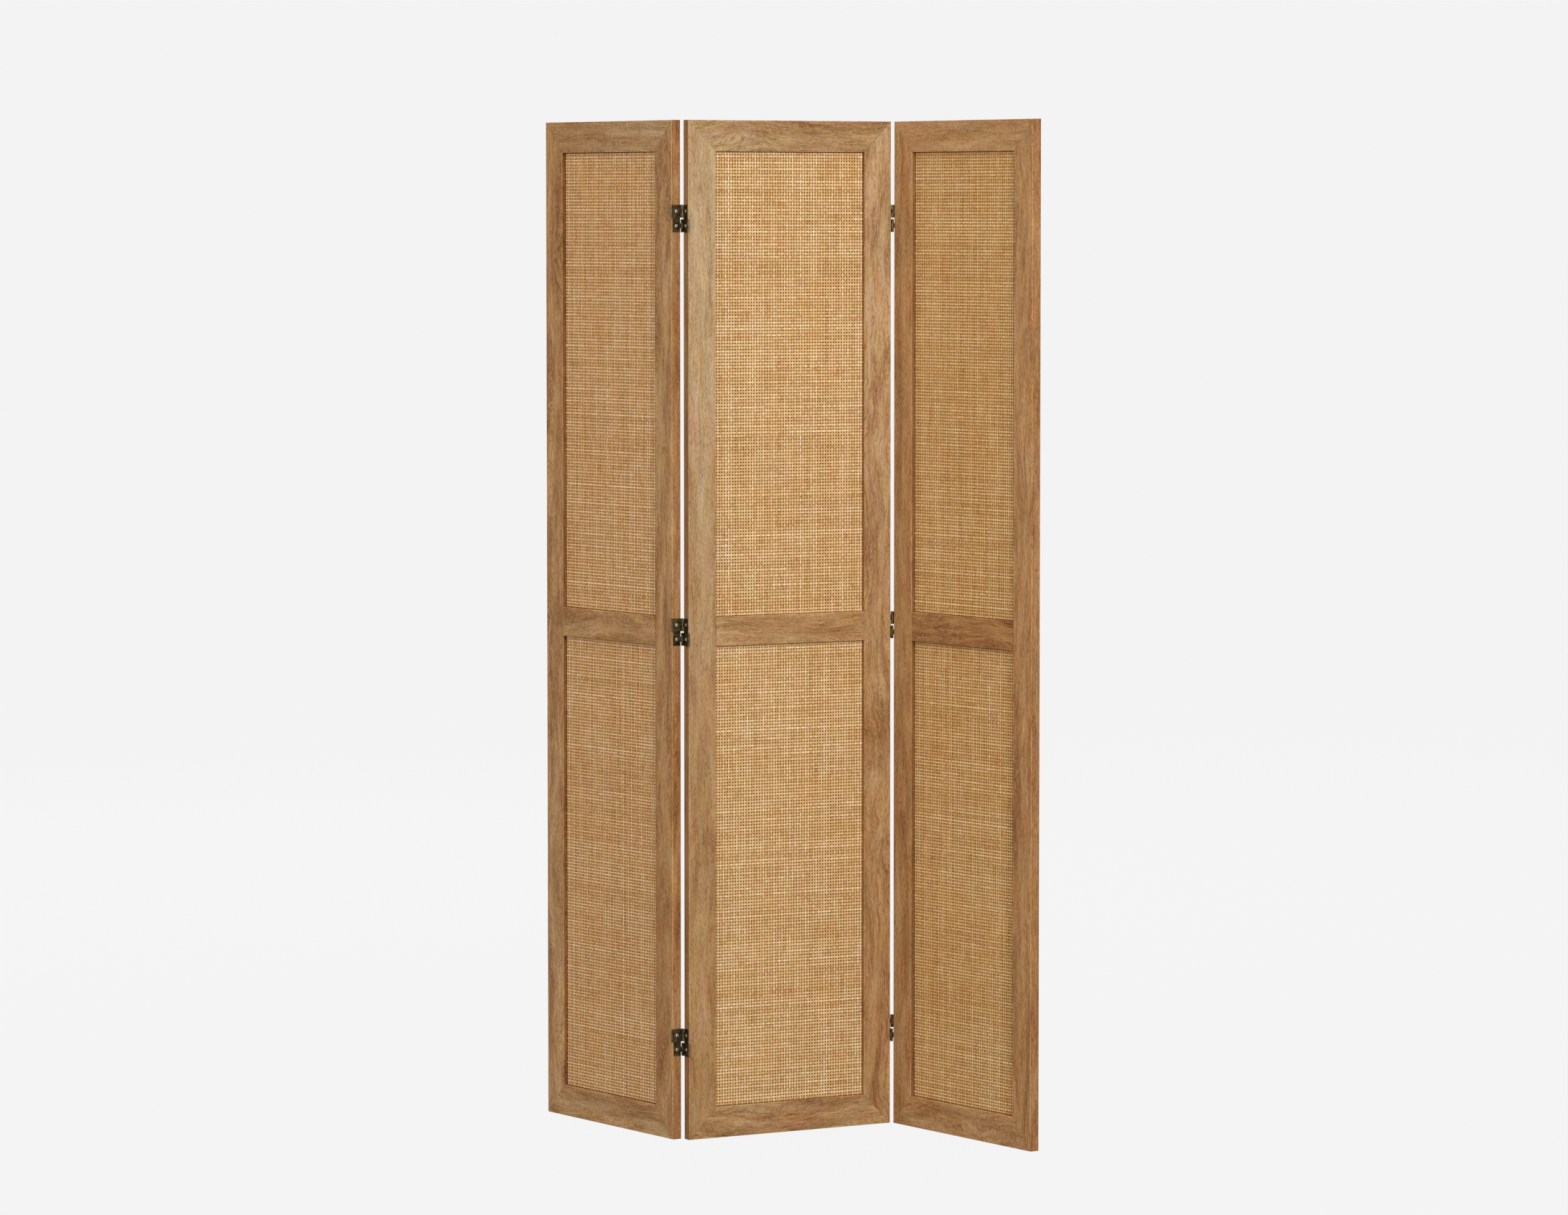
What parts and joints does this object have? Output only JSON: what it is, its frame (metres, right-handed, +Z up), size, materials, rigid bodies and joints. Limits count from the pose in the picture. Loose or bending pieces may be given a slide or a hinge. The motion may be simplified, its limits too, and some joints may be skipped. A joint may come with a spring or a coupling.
{
  "type": "room divider",
  "caption": "Folding room divider: tall wooden frames filled with woven cane webbing, joined by double-action hinges.",
  "frame": {"origin": "on the floor under the middle of the centre panel, which is the middle of the standing screen", "axes": "+Z up; +X along the row of panels to the right as seen from the front; +Y toward the back; the front faces -Y"},
  "size_m": [0.9578, 0.3066, 1.8],
  "materials": {
    "wood": "light brown hardwood, clear satin finish",
    "board": "dark brown stained thin board",
    "cane": "woven natural cane, matt",
    "dowel": "plain hardwood dowel",
    "hinge": "steel with dark antique bronze plating",
    "screw": "bright nickel plated steel"
  },
  "bodies": {
    "left_panel": {"left_panel_left_stile": "wood", "left_panel_right_stile": "wood", "left_panel_top_rail": "wood", "left_panel_middle_rail": "wood", "left_panel_bottom_rail": "wood", "left_panel_upper_board": "board", "left_panel_lower_board": "board", "left_panel_front_webbing": "cane", "left_panel_rear_webbing": "cane", "left_panel_dowels": "dowel", "left_panel_hinge_screws": "screw", "left_panel_hinge_pins": "hinge", "left_top_hinge_left_leaf": "hinge", "left_top_hinge_upper_link": "hinge", "left_middle_hinge_left_leaf": "hinge", "left_middle_hinge_upper_link": "hinge", "left_bottom_hinge_left_leaf": "hinge", "left_bottom_hinge_upper_link": "hinge"},
    "centre_panel": {"centre_panel_left_stile": "wood", "centre_panel_right_stile": "wood", "centre_panel_top_rail": "wood", "centre_panel_middle_rail": "wood", "centre_panel_bottom_rail": "wood", "centre_panel_upper_board": "board", "centre_panel_lower_board": "board", "centre_panel_front_webbing": "cane", "centre_panel_rear_webbing": "cane", "centre_panel_dowels": "dowel", "centre_panel_hinge_screws": "screw", "centre_panel_hinge_pins": "hinge", "left_top_hinge_right_leaf": "hinge", "left_top_hinge_lower_link": "hinge", "left_middle_hinge_right_leaf": "hinge", "left_middle_hinge_lower_link": "hinge", "left_bottom_hinge_right_leaf": "hinge", "left_bottom_hinge_lower_link": "hinge", "right_top_hinge_left_leaf": "hinge", "right_top_hinge_lower_link": "hinge", "right_middle_hinge_left_leaf": "hinge", "right_middle_hinge_lower_link": "hinge", "right_bottom_hinge_left_leaf": "hinge", "right_bottom_hinge_lower_link": "hinge"},
    "right_panel": {"right_panel_left_stile": "wood", "right_panel_right_stile": "wood", "right_panel_top_rail": "wood", "right_panel_middle_rail": "wood", "right_panel_bottom_rail": "wood", "right_panel_upper_board": "board", "right_panel_lower_board": "board", "right_panel_front_webbing": "cane", "right_panel_rear_webbing": "cane", "right_panel_dowels": "dowel", "right_panel_hinge_screws": "screw", "right_panel_hinge_pins": "hinge", "right_top_hinge_right_leaf": "hinge", "right_top_hinge_upper_link": "hinge", "right_middle_hinge_right_leaf": "hinge", "right_middle_hinge_upper_link": "hinge", "right_bottom_hinge_right_leaf": "hinge", "right_bottom_hinge_upper_link": "hinge"}
  },
  "joints": [
    {"name": "left_fold", "type": "hinge", "parent": "centre_panel", "child": "left_panel", "pos_m": [-0.16072, -0.13483, 0.9], "axis": [0, 0, 1], "range_deg": [-94, 86]},
    {"name": "right_fold", "type": "hinge", "parent": "centre_panel", "child": "right_panel", "pos_m": [0.16072, 0.13483, 0.9], "axis": [0, 0, 1], "range_deg": [-94, 86]}
  ]
}
